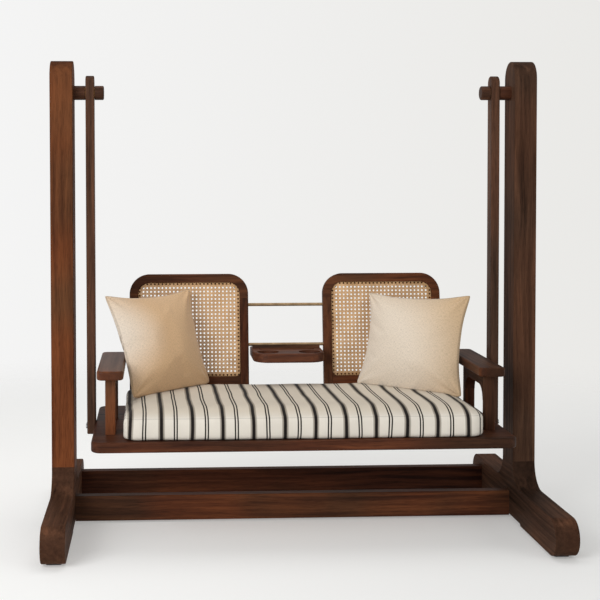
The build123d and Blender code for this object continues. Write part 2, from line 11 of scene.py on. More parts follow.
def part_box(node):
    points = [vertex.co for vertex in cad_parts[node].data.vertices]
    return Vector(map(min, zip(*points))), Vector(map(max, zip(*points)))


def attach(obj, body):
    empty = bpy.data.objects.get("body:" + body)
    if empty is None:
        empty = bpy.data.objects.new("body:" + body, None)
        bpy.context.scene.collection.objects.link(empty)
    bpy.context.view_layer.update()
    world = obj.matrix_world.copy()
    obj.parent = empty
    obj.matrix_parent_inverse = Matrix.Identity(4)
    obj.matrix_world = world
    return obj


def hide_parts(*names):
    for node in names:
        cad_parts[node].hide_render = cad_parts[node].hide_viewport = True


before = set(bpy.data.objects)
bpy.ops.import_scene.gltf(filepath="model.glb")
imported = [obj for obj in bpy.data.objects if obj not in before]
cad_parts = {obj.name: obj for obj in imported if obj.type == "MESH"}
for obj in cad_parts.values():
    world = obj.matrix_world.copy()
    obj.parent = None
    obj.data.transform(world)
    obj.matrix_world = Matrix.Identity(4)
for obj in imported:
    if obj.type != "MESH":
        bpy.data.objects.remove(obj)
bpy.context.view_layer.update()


# Camera. A long lens stands in front of the left arm, just above the backrests' height, and
# looks almost square on to the bench. A small shift keeps the posts upright.
camera_place = (-0.5687, -4.9816, 1.4323)
camera_yaw = 0.0444
camera_pitch = -0.0327
camera_roll = -0.0023
lens_pixels = 1214.13
image_pixels = 600

camera_data = bpy.data.cameras.new("camera")
camera_data.sensor_width = 36.0
camera_data.lens = lens_pixels / image_pixels * camera_data.sensor_width
camera_data.shift_x = 0.15
camera_data.shift_y = -0.14
camera = bpy.data.objects.new("camera", camera_data)
bpy.context.collection.objects.link(camera)
aim = Vector((
    math.sin(camera_yaw) * math.cos(camera_pitch),
    math.cos(camera_yaw) * math.cos(camera_pitch),
    math.sin(camera_pitch),
))
across = Vector((math.cos(camera_yaw), -math.sin(camera_yaw), 0))
upward = across.cross(aim)
tilted_across = across * math.cos(camera_roll) + upward * math.sin(camera_roll)
tilted_upward = upward * math.cos(camera_roll) - across * math.sin(camera_roll)
camera_turn = Matrix((tilted_across, tilted_upward, -aim)).transposed()
camera.matrix_world = Matrix.Translation(camera_place) @ camera_turn.to_4x4()
bpy.context.scene.camera = camera


# Floor and light. A pale studio floor fades into an even pale surround. A large soft light
# stands high on the left in front, a weak one on the right fills the shadows, and one hangs
# above. The floor glows a little, most at the back on the left, which keeps its shadows pale.
ambient_horizon = 0.78     # the surround's light on the object, level with it
ambient_zenith = 0.45      # and from above
zenith_start = 0.8         # how steep a heading counts as above
wall_turn = (-0.2, 0.4)    # the headings, left to right, over which the surround darkens
floor_radius = 12.0
floor_fade = (2.0, 5.0)    # distances from the object over which the floor fades out
glow_strengths = (0.22, 0.36)      # at the front on the right, and at the back on the left
glow_direction = (-0.65, 1, 0)
glow_run = (-1.36, 1.75)   # the stretch along that direction over which it grows
lit_point = Vector((0, 0, 0.8))        # what the lights are turned to
lights = (                 # place, size in metres and power in watts
    ("key_light", Vector((-3.6, -4.2, 2.9)), 3.4, 195),
    ("fill_light", Vector((4.0, -3.4, 2.2)), 3.0, 30),
    ("top_light", Vector((0.2, 0.6, 4.6)), 3.0, 45),
)


def linear(hex_colour):
    """Turns an sRGB hex colour to the linear values that a shader takes."""
    parts = [int(hex_colour[i:i + 2], 16) / 255 for i in (0, 2, 4)]
    straight = [c / 12.92 if c <= 0.04045 else ((c + 0.055) / 1.055) ** 2.4 for c in parts]
    return (*straight, 1.0)


def grey(value):
    """A neutral colour, as a ramp stop takes it."""
    return (value, value, value, 1.0)


def add(tree, kind, links=None, stops=(), **settings):
    """Adds a node with its settings and a ramp's stops, and sets or links its sockets. A node
    that is given for a socket stands for its first output in use."""
    node = tree.nodes.new(kind)
    for name, value in settings.items():
        setattr(node, name, value)
    for socket, value in (links or {}).items():
        if isinstance(value, bpy.types.Node):
            value = next(output for output in value.outputs if output.enabled)
        if isinstance(value, bpy.types.NodeSocket):
            tree.links.new(value, node.inputs[socket])
        else:
            node.inputs[socket].default_value = value
    if stops:
        elements = node.color_ramp.elements
        while len(elements) < len(stops):
            elements.new(0.5)
        for element, (position, colour) in zip(elements, stops):
            element.position = position
            element.color = colour
    return node


def new_material(name):
    """A material with its tree emptied but for the output."""
    material = bpy.data.materials.new(name)
    material.use_nodes = True
    tree = material.node_tree
    for node in list(tree.nodes):
        if node.type != "OUTPUT_MATERIAL":
            tree.nodes.remove(node)
    return material, tree


def show(tree, shader):
    """Joins a shader to the material's output."""
    tree.links.new(shader.outputs[0], tree.nodes["Material Output"].inputs["Surface"])


def lay_out(name, shape):
    """Makes an object at the origin from a bmesh, which is used up."""
    mesh = bpy.data.meshes.new(name)
    shape.to_mesh(mesh)
    shape.free()
    piece = bpy.data.objects.new(name, mesh)
    bpy.context.collection.objects.link(piece)
    return piece


surround = bpy.data.worlds.new("studio_surround")
surround.use_nodes = True
tree = surround.node_tree
coords = add(tree, "ShaderNodeTexCoord").outputs
heading = add(tree, "ShaderNodeSeparateXYZ", {0: coords["Generated"]}).outputs
rightward = add(tree, "ShaderNodeMapRange", {
    "Value": heading["X"], "From Min": wall_turn[0], "From Max": wall_turn[1]})
wall = add(tree, "ShaderNodeValToRGB", {"Fac": rightward}, stops=(
    (0.0, linear("F6F6F6")), (1.0, linear("E9E8E5"))))
steepness = add(tree, "ShaderNodeMath", {0: heading["Z"]}, operation="ABSOLUTE")
ambient = add(tree, "ShaderNodeMapRange", {
    "Value": steepness, "From Max": zenith_start,
    "To Min": ambient_horizon, "To Max": ambient_zenith}, interpolation_type="SMOOTHSTEP")
seen = add(tree, "ShaderNodeLightPath").outputs["Is Camera Ray"]
strength = add(tree, "ShaderNodeMapRange", {"Value": seen, "To Min": ambient, "To Max": 1.0})
background = tree.nodes["Background"]
tree.links.new(wall.outputs["Color"], background.inputs["Color"])
tree.links.new(strength.outputs["Result"], background.inputs["Strength"])
bpy.context.scene.world = surround
bpy.context.scene.view_settings.view_transform = "Standard"
bpy.context.scene.view_settings.look = "None"

disc = bmesh.new()
bmesh.ops.create_circle(disc, cap_ends=True, segments=96, radius=floor_radius)
floor = lay_out("studio_floor", disc)
floor_paint, tree = new_material("matt_studio_paint")
place = add(tree, "ShaderNodeTexCoord").outputs["Object"]
spread = add(tree, "ShaderNodeVectorMath", {0: place}, operation="LENGTH")
fade = add(tree, "ShaderNodeMapRange", {
    "Value": spread, "From Min": floor_fade[0], "From Max": floor_fade[1]},
    interpolation_type="SMOOTHSTEP")
backward = add(tree, "ShaderNodeVectorMath", {
    0: place, 1: glow_direction}, operation="DOT_PRODUCT")
glow_strength = add(tree, "ShaderNodeMapRange", {
    "Value": backward, "From Min": glow_run[0], "From Max": glow_run[1],
    "To Min": glow_strengths[0], "To Max": glow_strengths[1]})
matt = add(tree, "ShaderNodeBsdfDiffuse", {"Color": linear("DADAD9")})
glow = add(tree, "ShaderNodeEmission", {
    "Color": linear("FFFFFD"), "Strength": glow_strength})
lit = add(tree, "ShaderNodeAddShader", {0: matt, 1: glow})
clear = add(tree, "ShaderNodeBsdfTransparent")
show(tree, add(tree, "ShaderNodeMixShader", {0: fade, 1: lit, 2: clear}))
floor.data.materials.append(floor_paint)

for name, where, size, power in lights:
    light_data = bpy.data.lights.new(name, "AREA")
    light_data.size = size
    light_data.energy = power
    light = bpy.data.objects.new(name, light_data)
    bpy.context.collection.objects.link(light)
    light.location = where
    light.rotation_euler = (lit_point - where).to_track_quat("-Z", "Y").to_euler()


# Side frames. Each post is a thick walnut plank with a half-round top, tenoned into a foot
# whose neck sweeps up to meet it. The grain runs along each piece, so it turns at the joint.
grain_turns = {"x": (0, 0, 0), "y": (0, 0, math.pi / 2), "z": (0, math.pi / 2, 0)}
fibres = {"x": (1, 0, 0), "y": (0, 1, 0), "z": (0, 0, 1)}
streaks_per_metre = (1.4, 55, 55)      # along the grain, and across it both ways
bands_per_metre = (1.5, 9, 9)
pores_per_metre = (22, 650, 650)
walnut_browns = (("20140E", "40281B", "623F29"), ("27130D", "4F2B1B", "774428"))
dusky_browns = (("241A14", "463227", "684B39"), ("281913", "503628", "704A36"))


def timber(name, node, along, browns=walnut_browns, tone=0.0, gloss=0.1, polish=0.0):
    """Oiled solid timber with its grain along one axis: streaks 5 to 20 mm wide, redder in
    places, darker and more even on end grain, pores 0.5 mm wide drawn at 1.5 mm so that they
    show, and a satin surface a little rougher in the pores."""
    material, tree = new_material(name)
    low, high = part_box(node)
    coords = add(tree, "ShaderNodeTexCoord").outputs
    centred = add(tree, "ShaderNodeVectorMath", {
        0: coords["Object"], 1: (low + high) / 2}, operation="SUBTRACT")
    own = random.Random(node)
    shift = Vector([own.uniform(-5, 5) for axis in range(3)])
    laid = add(tree, "ShaderNodeMapping", {
        "Vector": centred, "Rotation": grain_turns[along], "Location": shift})
    wander = add(tree, "ShaderNodeTexNoise", {"Vector": laid, "Scale": 1.6, "Detail": 2.0})
    bent = add(tree, "ShaderNodeVectorMath", {
        0: wander.outputs["Color"], 1: (0, 0.05, 0.05), 2: laid}, operation="MULTIPLY_ADD")
    streak_space = add(tree, "ShaderNodeVectorMath", {
        0: bent, 1: streaks_per_metre}, operation="MULTIPLY")
    streaks = add(tree, "ShaderNodeTexNoise", {
        "Vector": streak_space, "Scale": 1.0, "Detail": 4.0, "Roughness": 0.6})
    band_space = add(tree, "ShaderNodeVectorMath", {
        0: laid, 1: bands_per_metre}, operation="MULTIPLY")
    bands = add(tree, "ShaderNodeTexNoise", {
        "Vector": band_space, "Scale": 1.0, "Detail": 2.0})
    pore_space = add(tree, "ShaderNodeVectorMath", {
        0: laid, 1: pores_per_metre}, operation="MULTIPLY")
    pores = add(tree, "ShaderNodeTexNoise", {
        "Vector": pore_space, "Scale": 1.0, "Detail": 1.0})
    figure = add(tree, "ShaderNodeMath", {
        0: streaks, 1: 0.7, 2: -0.07 + tone}, operation="MULTIPLY_ADD")
    figure = add(tree, "ShaderNodeMath", {
        0: bands, 1: 0.5, 2: figure}, operation="MULTIPLY_ADD")
    endwise = add(tree, "ShaderNodeVectorMath", {
        0: coords["Normal"], 1: fibres[along]}, operation="DOT_PRODUCT")
    endwise = add(tree, "ShaderNodeMath", {0: endwise}, operation="ABSOLUTE")
    end_grain = add(tree, "ShaderNodeMapRange", {
        "Value": endwise, "From Min": 0.5, "From Max": 0.95, "To Max": 0.65})
    lightness = add(tree, "ShaderNodeMix", {
        "Factor": end_grain, "A": figure, "B": 0.4 + tone / 2})
    plain, red = [add(tree, "ShaderNodeValToRGB", {"Fac": lightness}, stops=(
        (0.28, linear(dark)), (0.5, linear(mid)), (0.76, linear(light))))
        for dark, mid, light in browns]
    redness = add(tree, "ShaderNodeValToRGB", {"Fac": wander}, stops=(
        (0.42, grey(0.0)), (0.58, grey(1.0))))
    colour = add(tree, "ShaderNodeMix", {
        "Factor": redness, "A": plain, "B": red}, data_type="RGBA")
    pore_shade = add(tree, "ShaderNodeValToRGB", {"Fac": pores}, stops=(
        (0.3, grey(0.6)), (0.46, grey(1.0))))
    colour = add(tree, "ShaderNodeMix", {
        "Factor": 1.0, "A": colour, "B": pore_shade}, data_type="RGBA", blend_type="MULTIPLY")
    rough = add(tree, "ShaderNodeMapRange", {
        "Value": streaks, "To Min": 0.58 - polish, "To Max": 0.44 - polish})
    bump = add(tree, "ShaderNodeBump", {"Height": pores, "Strength": 0.25, "Distance": 0.0004})
    show(tree, add(tree, "ShaderNodeBsdfPrincipled", {
        "Base Color": colour, "Roughness": rough, "IOR": 1.5,
        "Specular IOR Level": gloss, "Normal": bump}))
    return material


def dress(material, *nodes):
    """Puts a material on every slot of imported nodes."""
    for node in nodes:
        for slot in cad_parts[node].material_slots:
            slot.material = material


def oil_walnut(node, along, **look):
    """Dresses a node in oiled walnut of its own, so that no two boards show the same figure."""
    dress(timber(f"oiled_walnut_{node}", node, along, **look), node)


# The right post and foot are painted darker, with duskier browns and lower tones, as painted shade
# on the side away from the key light; the left post's higher tone is painted light.
for node, along, browns, tone in (
    ("left_post", "z", walnut_browns, 0.11),
    ("left_foot", "y", dusky_browns, -0.02),
    ("right_post", "z", dusky_browns, -0.02),
    ("right_foot", "y", dusky_browns, -0.09),
):
    oil_walnut(node, along, browns=browns, tone=tone, gloss=0.01)


# Stretchers. Two boards on edge tie the side frames together below the bench. Each is pulled
# up by a long zinc-plated bolt into a barrel nut at both ends.
def zinc(name):
    """Zinc-plated steel: pale grey, faintly mottled by the plating in spots of 4 mm."""
    material, tree = new_material(name)
    coords = add(tree, "ShaderNodeTexCoord").outputs["Object"]
    mottle = add(tree, "ShaderNodeTexNoise", {"Vector": coords, "Scale": 260.0, "Detail": 3.0})
    colour = add(tree, "ShaderNodeValToRGB", {"Fac": mottle}, stops=(
        (0.3, linear("9A9C9E")), (0.7, linear("BFC2C4"))))
    rough = add(tree, "ShaderNodeMapRange", {"Value": mottle, "To Min": 0.3, "To Max": 0.45})
    show(tree, add(tree, "ShaderNodeBsdfPrincipled", {
        "Base Color": colour, "Roughness": rough, "Metallic": 1.0}))
    return material


oil_walnut("front_stretcher", "x", tone=0.03, gloss=0.06)
oil_walnut("rear_stretcher", "x", tone=-0.1, gloss=0.06)
plated_steel = zinc("zinc_plated_steel")
dress(plated_steel, "stretcher_bolts", "stretcher_barrel_nuts")


# Glides. Four moulded nylon pads under the ends of the feet keep the timber off the floor.
# They are black, and only their rims show.
def nylon(name):
    """Moulded black nylon: a spark-eroded grain of 0.1 mm, drawn at 1 mm so that it shows."""
    material, tree = new_material(name)
    coords = add(tree, "ShaderNodeTexCoord").outputs["Object"]
    grains = add(tree, "ShaderNodeTexNoise", {"Vector": coords, "Scale": 900.0, "Detail": 2.0})
    colour = add(tree, "ShaderNodeValToRGB", {"Fac": grains}, stops=(
        (0.3, linear("151313")), (0.7, linear("242120"))))
    bump = add(tree, "ShaderNodeBump", {"Height": grains, "Strength": 0.3, "Distance": 0.0002})
    show(tree, add(tree, "ShaderNodeBsdfPrincipled", {
        "Base Color": colour, "Roughness": 0.55, "Normal": bump}))
    return material


dress(nylon("moulded_nylon"), "foot_glides")


# Pegs. A steel axle in each post carries a turned walnut collar, the hanger with its two
# bronze bushes, and a turned cap that keeps the hanger on.
def bronze(name):
    """Oil-filled sintered bronze: brown gold with dark pores of 0.1 mm, drawn at 0.8 mm so that
    they show."""
    material, tree = new_material(name)
    coords = add(tree, "ShaderNodeTexCoord").outputs["Object"]
    pores = add(tree, "ShaderNodeTexNoise", {"Vector": coords, "Scale": 1200.0, "Detail": 2.0})
    colour = add(tree, "ShaderNodeValToRGB", {"Fac": pores}, stops=(
        (0.35, linear("6B4C26")), (0.6, linear("A17A45"))))
    show(tree, add(tree, "ShaderNodeBsdfPrincipled", {
        "Base Color": colour, "Roughness": 0.38, "Metallic": 1.0}))
    return material


dress(plated_steel, "left_axle", "right_axle")
dress(bronze("sintered_bronze"), "left_hanger_bushes", "right_hanger_bushes")
for node in ("left_peg_collar", "left_peg_cap", "right_peg_collar", "right_peg_cap"):
    dress(timber(f"turned_walnut_{node}", node, "x"), node)


# Hangers. One flat walnut bar at each end of the bench, bolted to the seat's end board with
# two bolts and barrel nuts.
for node in ("left_hanger", "right_hanger"):
    oil_walnut(node, "z", browns=dusky_browns, tone=-0.04, gloss=0.05)
dress(plated_steel, "hanger_bolts", "hanger_barrel_nuts")


# Seat frame. Two end boards with round corners and two long rails are walnut. A middle rail,
# two cleats and eleven slats below the cushion are plain planed timber with a thin stain,
# taken as beech.
beech_browns = (("6B4A30", "86603F", "9C744F"), ("6A452C", "8A5D3B", "A2724A"))
seat_walnut = timber("oiled_walnut_seat", "seat_front_rail", "x", tone=-0.08, gloss=0.08)
dress(seat_walnut, "left_seat_end_board", "right_seat_end_board",
      "seat_front_rail", "seat_rear_rail")
for node, along in (
    ("seat_middle_rail", "x"), ("seat_front_cleat", "x"), ("seat_rear_cleat", "x"),
    ("seat_slats", "y"),
):
    dress(timber(f"stained_beech_{node}", node, along, beech_browns, gloss=0.12), node)


# Arms. Each arm is a broad walnut rest on two square legs with an arched rail between them,
# screwed from below. The left rest has the brighter top: it is glossier, rubbed smooth by use, and
# its higher tone, like the left front leg's, is painted light.
for node, along, tone in (
    ("left_arm_front_leg", "z", 0.2), ("right_arm_front_leg", "z", 0.0),
    ("left_arm_rear_leg", "z", -0.06), ("right_arm_rear_leg", "z", -0.06),
    ("left_arm_rail", "y", -0.06), ("right_arm_rail", "y", -0.06),
    ("right_armrest", "y", -0.03),
):
    oil_walnut(node, along, tone=tone, gloss=0.06)
oil_walnut("left_armrest", "y", tone=0.12, gloss=0.12, polish=0.1)
dress(plated_steel, "armrest_screws")


# Backrest frames. Stiles, a crest with round corners and a bottom rail, all walnut, with a
# ledge behind the border of the cane.
for node, along, tone in (
    ("left_back_crest", "x", 0.0), ("right_back_crest", "x", 0.03),
    ("left_back_inner_stile", "z", -0.03), ("right_back_inner_stile", "z", 0.04),
    ("left_back_outer_stile", "z", 0.0), ("right_back_outer_stile", "z", 0.0),
    ("left_back_bottom_rail", "x", 0.0), ("right_back_bottom_rail", "x", 0.0),
):
    oil_walnut(node, along, tone=tone, gloss=0.06)


# Cane. Each back is woven by hand from split rattan in the six-way pattern: two strands
# upright, two level and one on each diagonal through every hole.
back_lean = math.radians(7.5)
cane_columns = 27
cane_rows = 25
border_inset = 0.006       # frame's edge to the outermost row of holes
weave_overrun = 0.002      # how far the strands pass the sheet's edge, inside the rebate
crest_corner = 0.050       # corner radii of the sheet, at its top and at its foot
foot_corner = 0.020
strand_width = 0.0039
diagonal_width = strand_width * 0.9
strand_thickness = 0.0008
pair_offset = 0.0026       # middle of a pair to the middle of a strand
upright_layer = 0.0004     # depths behind the middle of the sheet
level_layer = -0.0004
diagonal_layer = -0.0013
diagonal_crossing = 0.0004


def rattan(name):
    """Split rattan: a glossy straw-coloured skin, darker in patches of 70 mm, with specks of
    2 mm."""
    material, tree = new_material(name)
    coords = add(tree, "ShaderNodeTexCoord").outputs["Object"]
    patches = add(tree, "ShaderNodeTexNoise", {"Vector": coords, "Scale": 14.0, "Detail": 3.0})
    specks = add(tree, "ShaderNodeTexNoise", {"Vector": coords, "Scale": 420.0, "Detail": 2.0})
    mixed = add(tree, "ShaderNodeMix", {"Factor": 0.5, "A": patches, "B": specks})
    colour = add(tree, "ShaderNodeValToRGB", {"Fac": mixed}, stops=(
        (0.35, linear("A98051")), (0.5, linear("C69C6C")), (0.65, linear("DCB586"))))
    show(tree, add(tree, "ShaderNodeBsdfPrincipled", {
        "Base Color": colour, "Roughness": 0.42, "IOR": 1.5}))
    return material


def strand(shape, start, end, depth, width=strand_width):
    """One flat strand between two points of the panel's plane, as a thin bar."""
    along = Vector((end[0] - start[0], 0, end[1] - start[1]))
    turn = Matrix.Rotation(math.atan2(-along.z, along.x), 4, "Y")
    middle = Vector(((start[0] + end[0]) / 2, depth, (start[1] + end[1]) / 2))
    size = Matrix.Diagonal((along.length, strand_thickness, width, 1))
    bmesh.ops.create_cube(shape, size=1, matrix=Matrix.Translation(middle) @ turn @ size)


def trim(shape, point, outward):
    """Cuts away what lies outside a line of the panel's plane."""
    cut = bmesh.ops.bisect_plane(
        shape, geom=shape.verts[:] + shape.edges[:] + shape.faces[:],
        plane_co=point, plane_no=outward, clear_outer=True)
    edges = [item for item in cut["geom_cut"] if isinstance(item, bmesh.types.BMEdge)]
    bmesh.ops.holes_fill(shape, edges=edges, sides=4)


split_rattan = rattan("split_rattan")
for side in ("left", "right"):
    node = f"{side}_back_cane"
    low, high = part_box(node)
    width = high.x - low.x
    height = (high.z - low.z) / math.cos(back_lean)
    step_x = (width - 2 * border_inset) / (cane_columns - 1)
    step_z = (height - 2 * border_inset) / (cane_rows - 1)
    reach_x = width / 2 + weave_overrun
    reach_z = height / 2 + weave_overrun
    first_hole_x = -width / 2 + border_inset
    first_hole_z = -height / 2 + border_inset
    woven = bmesh.new()
    for offset in (-pair_offset, pair_offset):
        for column in range(cane_columns - 1):
            x = first_hole_x + (column + 0.5) * step_x + offset
            strand(woven, (x, -reach_z), (x, reach_z), upright_layer)
        for row in range(cane_rows - 1):
            z = first_hole_z + (row + 0.5) * step_z + offset
            strand(woven, (-reach_x, z), (reach_x, z), level_layer)
    for count in range(-cane_columns - cane_rows, cane_columns + cane_rows):
        for slope in (-1, 1):
            x = first_hole_x + (count + 0.5) * step_x
            start = (x - slope * step_x, first_hole_z - step_z)
            end = (x + slope * (cane_rows + 1) * step_x, first_hole_z + (cane_rows + 1) * step_z)
            depth = diagonal_layer + slope * diagonal_crossing
            strand(woven, start, end, depth, diagonal_width)
    trim(woven, (-reach_x, 0, 0), (-1, 0, 0))
    trim(woven, (reach_x, 0, 0), (1, 0, 0))
    trim(woven, (0, 0, -reach_z), (0, 0, -1))
    trim(woven, (0, 0, reach_z), (0, 0, 1))
    for radius, way_z in ((crest_corner, 1), (foot_corner, -1)):
        for way_x in (-1, 1):
            hub = Vector((way_x * (width / 2 - radius), 0, way_z * (height / 2 - radius)))
            for degrees in range(10, 90, 10):
                lean = math.radians(degrees)
                outward = Vector((way_x * math.cos(lean), 0, way_z * math.sin(lean)))
                trim(woven, hub + outward * (radius + weave_overrun), outward)
    leaned = Matrix.Translation((low + high) / 2) @ Matrix.Rotation(-back_lean, 4, "X")
    bmesh.ops.transform(woven, verts=woven.verts, matrix=leaned)
    panel = lay_out(f"{side}_woven_cane", woven)
    panel.data.materials.append(split_rattan)
    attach(panel, "bench")
    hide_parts(node)


# Tie rods and tray. Two brass rods join the backrests. The tray hangs on the lower one, on a
# grooved strip near its rear edge, and has two cup wells and a slot.
brushing_per_metre = (8, 900, 900)


def brass(name):
    """Drawn brass, left to dull: lines of 0.1 mm along its length, drawn at 1 mm so that they
    show, and a brown tarnish in patches of 45 mm."""
    material, tree = new_material(name)
    coords = add(tree, "ShaderNodeTexCoord").outputs["Object"]
    lines = add(tree, "ShaderNodeVectorMath", {
        0: coords, 1: brushing_per_metre}, operation="MULTIPLY")
    brushed = add(tree, "ShaderNodeTexNoise", {"Vector": lines, "Scale": 1.0, "Detail": 2.0})
    patches = add(tree, "ShaderNodeTexNoise", {"Vector": coords, "Scale": 22.0, "Detail": 3.0})
    colour = add(tree, "ShaderNodeValToRGB", {"Fac": patches}, stops=(
        (0.35, linear("967C5D")), (0.65, linear("B79B79"))))
    rough = add(tree, "ShaderNodeMapRange", {"Value": brushed, "To Min": 0.38, "To Max": 0.52})
    show(tree, add(tree, "ShaderNodeBsdfPrincipled", {
        "Base Color": colour, "Roughness": rough, "Metallic": 1.0}))
    return material


dress(brass("dulled_brass"), "upper_tie_rod", "lower_tie_rod")
for node in ("tray", "tray_saddle"):
    oil_walnut(node, "x", tone=0.04, gloss=0.2)
dress(plated_steel, "tray_screws")


# Seat cushion. A boxed pad filled with fibre, in cream canvas with woven charcoal stripes that
# run front to back over the top panel and down the boxing, which meet in a plain seam.
cream = linear("E0D9CD")
charcoal = linear("1F1A18")
pale_rib = linear("B8B0A4")
dark_rib = linear("978F84")
stripe_pitch = 0.1183
stripe_slip = 0.012        # how far the cloth strays sideways over the filling
stripe_skew = 0.02         # and how much it turns from square, front to back
stripe_mark = (-0.079, -0.41)      # a broad stripe's middle passes here, at the front seam
broad_middle = 0.3         # where the broad stripe's middle stands in the pattern
thread_pitch = 0.001508
wave_period = math.pi / 10         # of a wave texture at a scale of 1
seam_height = 0.507
seam_reach = 0.010         # how far above and below it the seam draws the cloth in
seam_depth = 0.0022
cushion_start = 0.006      # how much smaller the pad is before it is filled
cushion_corner = 0.055     # radii of the pad's plan and of its rims
cushion_rim = 0.006
cushion_voxel = 0.011
cushion_cap = 0.010        # no point moves further than this as it is filled
crown_rise = 0.021         # the seam to the level top of the pad, before it is filled
crown_slopes = Vector((0.11, 0.12, 0.03))      # run of the rise from the ends, front and rear
cushion_proud = Vector((0.006, 0.010, 0.0))    # how far the filled sides pass the pad's plan
lumps = ((5.0, 0.0022), (14.0, 0.0008))        # unevenness of the filling: per metre, height

low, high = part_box("seat_cushion")
stripe_phase = broad_middle - (
    stripe_mark[0] + stripe_slip / 2 + stripe_skew * stripe_mark[1]) / stripe_pitch
corner_turn = high.x - low.y       # carries the stripes round the front corners


def canvas(name):
    """Cotton canvas: stripes every 118 mm, which stand upright on the boxing all the way round,
    threads of 0.8 mm drawn at 1.5 mm so that they show, matt with a faint fuzz, and a stitched
    line where the top panel meets the boxing."""
    material, tree = new_material(name)
    coords = add(tree, "ShaderNodeTexCoord").outputs
    cloth = add(tree, "ShaderNodeSeparateXYZ", {0: coords["Object"]}).outputs
    outward = add(tree, "ShaderNodeSeparateXYZ", {0: coords["Normal"]}).outputs["X"]
    sideways = add(tree, "ShaderNodeMath", {0: outward}, operation="ABSOLUTE")
    sideways = add(tree, "ShaderNodeMath", {
        0: sideways, 1: math.cos(math.pi / 4)}, operation="GREATER_THAN")
    boxing = add(tree, "ShaderNodeMath", {
        0: cloth["Z"], 1: seam_height}, operation="LESS_THAN")
    on_end = add(tree, "ShaderNodeMath", {0: sideways, 1: boxing}, operation="MULTIPLY")
    end_side = add(tree, "ShaderNodeMath", {0: outward}, operation="SIGN")
    round_corner = add(tree, "ShaderNodeMath", {
        0: cloth["Y"], 1: corner_turn}, operation="ADD")
    round_corner = add(tree, "ShaderNodeMath", {
        0: round_corner, 1: end_side}, operation="MULTIPLY")
    run = add(tree, "ShaderNodeMix", {"Factor": on_end, "A": cloth["X"], "B": round_corner})
    slip = add(tree, "ShaderNodeTexNoise", {
        "Vector": coords["Object"], "Scale": 5.0, "Detail": 1.0})
    run = add(tree, "ShaderNodeMath", {
        0: slip, 1: stripe_slip, 2: run}, operation="MULTIPLY_ADD")
    run = add(tree, "ShaderNodeMath", {
        0: cloth["Y"], 1: stripe_skew, 2: run}, operation="MULTIPLY_ADD")
    repeats = add(tree, "ShaderNodeMath", {
        0: run, 1: 1 / stripe_pitch, 2: stripe_phase}, operation="MULTIPLY_ADD")
    in_repeat = add(tree, "ShaderNodeMath", {0: repeats}, operation="FRACT")
    # In shares of the repeat: a broad stripe between two ribbed bands, then two fine stripes.
    stripes = add(tree, "ShaderNodeValToRGB", {"Fac": in_repeat}, stops=(
        (0.188, cream), (0.198, pale_rib), (0.238, dark_rib), (0.260, charcoal),
        (0.340, charcoal), (0.362, dark_rib), (0.402, pale_rib), (0.412, cream),
        (0.688, cream), (0.694, charcoal), (0.734, charcoal), (0.740, cream),
        (0.779, cream), (0.785, charcoal), (0.825, charcoal), (0.831, cream)))
    warp = add(tree, "ShaderNodeTexWave", {
        "Vector": coords["Object"], "Scale": wave_period / thread_pitch, "Distortion": 0.6,
        "Detail": 1.0}, wave_type="BANDS", bands_direction="X")
    down_cloth = add(tree, "ShaderNodeMath", {0: cloth["Y"], 1: cloth["Z"]}, operation="ADD")
    down_cloth = add(tree, "ShaderNodeCombineXYZ", {0: down_cloth})
    weft = add(tree, "ShaderNodeTexWave", {
        "Vector": down_cloth, "Scale": wave_period / thread_pitch},
        wave_type="BANDS", bands_direction="X")
    weave = add(tree, "ShaderNodeMath", {
        0: warp.outputs["Fac"], 1: weft.outputs["Fac"]}, operation="MULTIPLY")
    threads = add(tree, "ShaderNodeValToRGB", {"Fac": weave}, stops=(
        (0.0, grey(0.93)), (0.5, grey(1.0))))
    soil = add(tree, "ShaderNodeTexNoise", {
        "Vector": coords["Object"], "Scale": 7.0, "Detail": 4.0})
    soiled = add(tree, "ShaderNodeValToRGB", {"Fac": soil}, stops=(
        (0.3, grey(0.93)), (0.7, grey(1.0))))
    # Painted shade: from the seam up, the top panel is tinted a little darker and warmer than the
    # boxing, as an upward face that gets less light.
    above_seam = add(tree, "ShaderNodeMapRange", {
        "Value": cloth["Z"], "From Min": seam_height, "From Max": seam_height + 0.02})
    painted_top_shade = add(tree, "ShaderNodeValToRGB", {"Fac": above_seam}, stops=(
        (0.0, grey(1.0)), (1.0, linear("F6F1EA"))))
    from_seam = add(tree, "ShaderNodeMath", {0: cloth["Z"], 1: -seam_height}, operation="ADD")
    from_seam = add(tree, "ShaderNodeMath", {0: from_seam}, operation="ABSOLUTE")
    from_seam = add(tree, "ShaderNodeMapRange", {
        "Value": from_seam, "From Min": 0.0004, "From Max": 0.0014})
    stitched = add(tree, "ShaderNodeValToRGB", {"Fac": from_seam}, stops=(
        (0.0, grey(0.72)), (1.0, grey(1.0))))
    colour = stripes
    for layer in (soiled, painted_top_shade, threads, stitched):
        colour = add(tree, "ShaderNodeMix", {
            "Factor": 1.0, "A": colour, "B": layer}, data_type="RGBA", blend_type="MULTIPLY")
    bump = add(tree, "ShaderNodeBump", {"Height": weave, "Strength": 0.35, "Distance": 0.0006})
    show(tree, add(tree, "ShaderNodeBsdfPrincipled", {
        "Base Color": colour, "Roughness": 0.9, "Specular IOR Level": 0.12,
        "Sheen Weight": 0.05, "Sheen Roughness": 0.5, "Normal": bump}))
    return material


def apply_modifiers(piece):
    """Replaces a piece's mesh with what its modifiers make of it."""
    made = bpy.data.meshes.new_from_object(
        piece.evaluated_get(bpy.context.evaluated_depsgraph_get()))
    piece.modifiers.clear()
    piece.data = made


def subdivide(piece):
    """Halves the edges of a piece's mesh and smooths it."""
    smooth = piece.modifiers.new("smooth", "SUBSURF")
    smooth.levels = smooth.render_levels = 1
    apply_modifiers(piece)


